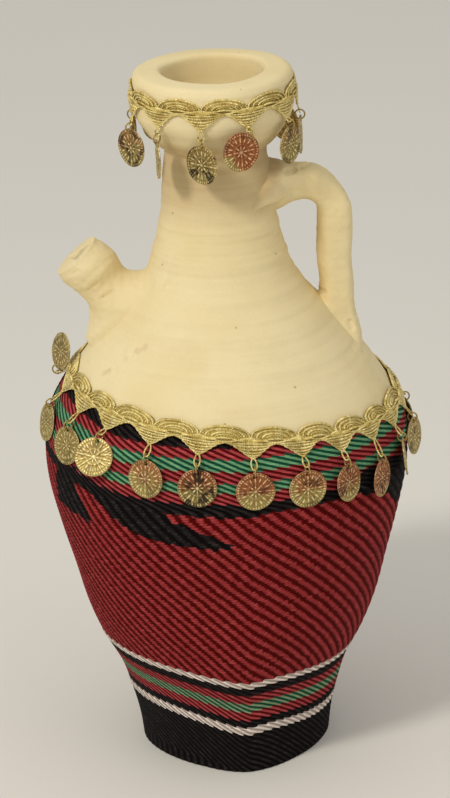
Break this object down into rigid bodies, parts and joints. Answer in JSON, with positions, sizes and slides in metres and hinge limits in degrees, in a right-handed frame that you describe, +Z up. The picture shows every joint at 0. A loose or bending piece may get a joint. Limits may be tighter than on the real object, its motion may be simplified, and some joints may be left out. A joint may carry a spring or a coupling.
{
  "type": "clay water jug",
  "caption": "Round clay jug with a rolled collar, a short drinking spout and a strap handle, wrapped in woven cloth and hung with stamped coins on gold braid.",
  "frame": {"origin": "centre of the foot, on the table", "axes": "+Z up along the jug axis, +X towards the handle, -X towards the spout, -Y towards the viewer of the picture"},
  "size_m": [0.1616, 0.1588, 0.3],
  "materials": {
    "clay": "unglazed, matte, with throwing lines",
    "cloth": "coarse wool twill in red, green, black and white",
    "braid": "metallic gold thread",
    "coin": "stamped, bright, worn"
  },
  "bodies": {
    "jug": {"jug_body": "clay", "spout": "clay", "handle": "clay", "fabric_wrap": "cloth", "shoulder_trim": "braid", "collar_trim": "braid"},
    "shoulder_coin_01": {"shoulder_coin_01": "coin"},
    "shoulder_coin_02": {"shoulder_coin_02": "coin"},
    "shoulder_coin_03": {"shoulder_coin_03": "coin"},
    "shoulder_coin_04": {"shoulder_coin_04": "coin"},
    "shoulder_coin_05": {"shoulder_coin_05": "coin"},
    "shoulder_coin_06": {"shoulder_coin_06": "coin"},
    "shoulder_coin_07": {"shoulder_coin_07": "coin"},
    "shoulder_coin_08": {"shoulder_coin_08": "coin"},
    "shoulder_coin_09": {"shoulder_coin_09": "coin"},
    "shoulder_coin_10": {"shoulder_coin_10": "coin"},
    "shoulder_coin_11": {"shoulder_coin_11": "coin"},
    "shoulder_coin_12": {"shoulder_coin_12": "coin"},
    "shoulder_coin_13": {"shoulder_coin_13": "coin"},
    "shoulder_coin_14": {"shoulder_coin_14": "coin"},
    "shoulder_coin_15": {"shoulder_coin_15": "coin"},
    "shoulder_coin_16": {"shoulder_coin_16": "coin"},
    "shoulder_coin_17": {"shoulder_coin_17": "coin"},
    "shoulder_coin_18": {"shoulder_coin_18": "coin"},
    "shoulder_coin_19": {"shoulder_coin_19": "coin"},
    "shoulder_coin_20": {"shoulder_coin_20": "coin"},
    "shoulder_coin_21": {"shoulder_coin_21": "coin"},
    "collar_coin_01": {"collar_coin_01": "coin"},
    "collar_coin_02": {"collar_coin_02": "coin"},
    "collar_coin_03": {"collar_coin_03": "coin"},
    "collar_coin_04": {"collar_coin_04": "coin"},
    "collar_coin_05": {"collar_coin_05": "coin"},
    "collar_coin_06": {"collar_coin_06": "coin"},
    "collar_coin_07": {"collar_coin_07": "coin"},
    "collar_coin_08": {"collar_coin_08": "coin"},
    "collar_coin_09": {"collar_coin_09": "coin"},
    "collar_coin_10": {"collar_coin_10": "coin"},
    "collar_coin_11": {"collar_coin_11": "coin"}
  },
  "joints": [
    {"name": "shoulder_coin_01_swing", "type": "hinge", "parent": "jug", "child": "shoulder_coin_01", "pos_m": [-0.07129, 0.01257, 0.167], "axis": [0.1736, 0.9848, 0], "range_deg": [-155, 0]},
    {"name": "shoulder_coin_02_swing", "type": "hinge", "parent": "jug", "child": "shoulder_coin_02", "pos_m": [-0.0728, -0.01349, 0.16368], "axis": [-0.1822, 0.9833, 0], "range_deg": [0, 81]},
    {"name": "shoulder_coin_03_swing", "type": "hinge", "parent": "jug", "child": "shoulder_coin_03", "pos_m": [-0.06472, -0.03692, 0.16281], "axis": [-0.4955, 0.8686, 0], "range_deg": [0, 81]},
    {"name": "shoulder_coin_04_swing", "type": "hinge", "parent": "jug", "child": "shoulder_coin_04", "pos_m": [-0.05143, -0.05325, 0.1637], "axis": [-0.7193, 0.6947, 0], "range_deg": [0, 65]},
    {"name": "shoulder_coin_05_swing", "type": "hinge", "parent": "jug", "child": "shoulder_coin_05", "pos_m": [-0.03288, -0.06862, 0.15954], "axis": [-0.9018, 0.4321, 0], "range_deg": [0, 88]},
    {"name": "shoulder_coin_06_swing", "type": "hinge", "parent": "jug", "child": "shoulder_coin_06", "pos_m": [-0.01242, -0.07586, 0.15752], "axis": [-0.9869, 0.1616, 0], "range_deg": [0, 91]},
    {"name": "shoulder_coin_07_swing", "type": "hinge", "parent": "jug", "child": "shoulder_coin_07", "pos_m": [0.0108, -0.07682, 0.15527], "axis": [-0.9903, -0.1392, 0], "range_deg": [0, 94]},
    {"name": "shoulder_coin_08_swing", "type": "hinge", "parent": "jug", "child": "shoulder_coin_08", "pos_m": [0.03201, -0.07123, 0.15323], "axis": [-0.9121, -0.4099, 0], "range_deg": [0, 94]},
    {"name": "shoulder_coin_09_swing", "type": "hinge", "parent": "jug", "child": "shoulder_coin_09", "pos_m": [0.04863, -0.06157, 0.15163], "axis": [-0.7848, -0.6198, 0], "range_deg": [0, 90]},
    {"name": "shoulder_coin_10_swing", "type": "hinge", "parent": "jug", "child": "shoulder_coin_10", "pos_m": [0.06337, -0.04775, 0.14695], "axis": [-0.6018, -0.7986, 0], "range_deg": [0, 95]},
    {"name": "shoulder_coin_11_swing", "type": "hinge", "parent": "jug", "child": "shoulder_coin_11", "pos_m": [0.07267, -0.03085, 0.1493], "axis": [-0.3907, -0.9205, 0], "range_deg": [0, 87]},
    {"name": "shoulder_coin_12_swing", "type": "hinge", "parent": "jug", "child": "shoulder_coin_12", "pos_m": [0.0787, -0.00758, 0.14872], "axis": [-0.0958, -0.9954, 0], "range_deg": [0, 90]},
    {"name": "shoulder_coin_13_swing", "type": "hinge", "parent": "jug", "child": "shoulder_coin_13", "pos_m": [0.07729, 0.0165, 0.14885], "axis": [0.2088, -0.978, 0], "range_deg": [0, 95]},
    {"name": "shoulder_coin_14_swing", "type": "hinge", "parent": "jug", "child": "shoulder_coin_14", "pos_m": [0.06858, 0.03896, 0.14971], "axis": [0.4939, -0.8695, 0], "range_deg": [0, 94]},
    {"name": "shoulder_coin_15_swing", "type": "hinge", "parent": "jug", "child": "shoulder_coin_15", "pos_m": [0.05343, 0.05759, 0.15117], "axis": [0.7331, -0.6801, 0], "range_deg": [0, 95]},
    {"name": "shoulder_coin_16_swing", "type": "hinge", "parent": "jug", "child": "shoulder_coin_16", "pos_m": [0.03339, 0.07063, 0.1531], "axis": [0.9041, -0.4274, 0], "range_deg": [0, 95]},
    {"name": "shoulder_coin_17_swing", "type": "hinge", "parent": "jug", "child": "shoulder_coin_17", "pos_m": [0.01046, 0.07686, 0.15531], "axis": [0.9909, -0.1349, 0], "range_deg": [0, 87]},
    {"name": "shoulder_coin_18_swing", "type": "hinge", "parent": "jug", "child": "shoulder_coin_18", "pos_m": [-0.01308, 0.07573, 0.15759], "axis": [0.9854, 0.1702, 0], "range_deg": [0, 89]},
    {"name": "shoulder_coin_19_swing", "type": "hinge", "parent": "jug", "child": "shoulder_coin_19", "pos_m": [-0.03492, 0.06751, 0.15974], "axis": [0.8882, 0.4594, 0], "range_deg": [0, 89]},
    {"name": "shoulder_coin_20_swing", "type": "hinge", "parent": "jug", "child": "shoulder_coin_20", "pos_m": [-0.05304, 0.05323, 0.16158], "axis": [0.7083, 0.7059, 0], "range_deg": [0, 81]},
    {"name": "shoulder_coin_21_swing", "type": "hinge", "parent": "jug", "child": "shoulder_coin_21", "pos_m": [-0.066, 0.03443, 0.16295], "axis": [0.4625, 0.8866, 0], "range_deg": [0, 82]},
    {"name": "collar_coin_01_swing", "type": "hinge", "parent": "jug", "child": "collar_coin_01", "pos_m": [-0.03405, -0.00912, 0.2807], "axis": [-0.2588, 0.9659, 0], "range_deg": [-29, 95]},
    {"name": "collar_coin_02_swing", "type": "hinge", "parent": "jug", "child": "collar_coin_02", "pos_m": [-0.02313, -0.02661, 0.2807], "axis": [-0.7547, 0.6561, 0], "range_deg": [-17, 95]},
    {"name": "collar_coin_03_swing", "type": "hinge", "parent": "jug", "child": "collar_coin_03", "pos_m": [-0.00545, -0.03441, 0.27971], "axis": [-0.9877, 0.1564, 0], "range_deg": [-29, 95]},
    {"name": "collar_coin_04_swing", "type": "hinge", "parent": "jug", "child": "collar_coin_04", "pos_m": [0.01427, -0.03282, 0.2829], "axis": [-0.9171, -0.3987, 0], "range_deg": [-30, 95]},
    {"name": "collar_coin_05_swing", "type": "hinge", "parent": "jug", "child": "collar_coin_05", "pos_m": [0.0306, -0.01839, 0.28235], "axis": [-0.515, -0.8572, 0], "range_deg": [-30, 95]},
    {"name": "collar_coin_06_swing", "type": "hinge", "parent": "jug", "child": "collar_coin_06", "pos_m": [0.03524, 0.00079, 0.2807], "axis": [0.0224, -0.9997, 0], "range_deg": [-30, 95]},
    {"name": "collar_coin_07_swing", "type": "hinge", "parent": "jug", "child": "collar_coin_07", "pos_m": [0.02937, 0.01949, 0.2807], "axis": [0.553, -0.8332, 0], "range_deg": [-30, 95]},
    {"name": "collar_coin_08_swing", "type": "hinge", "parent": "jug", "child": "collar_coin_08", "pos_m": [0.01442, 0.03217, 0.2807], "axis": [0.9125, -0.409, 0], "range_deg": [-30, 95]},
    {"name": "collar_coin_09_swing", "type": "hinge", "parent": "jug", "child": "collar_coin_09", "pos_m": [-0.00499, 0.0349, 0.2807], "axis": [0.9899, 0.1416, 0], "range_deg": [-30, 95]},
    {"name": "collar_coin_10_swing", "type": "hinge", "parent": "jug", "child": "collar_coin_10", "pos_m": [-0.02286, 0.02684, 0.2807], "axis": [0.7612, 0.6485, 0], "range_deg": [-30, 95]},
    {"name": "collar_coin_11_swing", "type": "hinge", "parent": "jug", "child": "collar_coin_11", "pos_m": [-0.03366, 0.01047, 0.2807], "axis": [0.2971, 0.9548, 0], "range_deg": [-30, 95]}
  ]
}
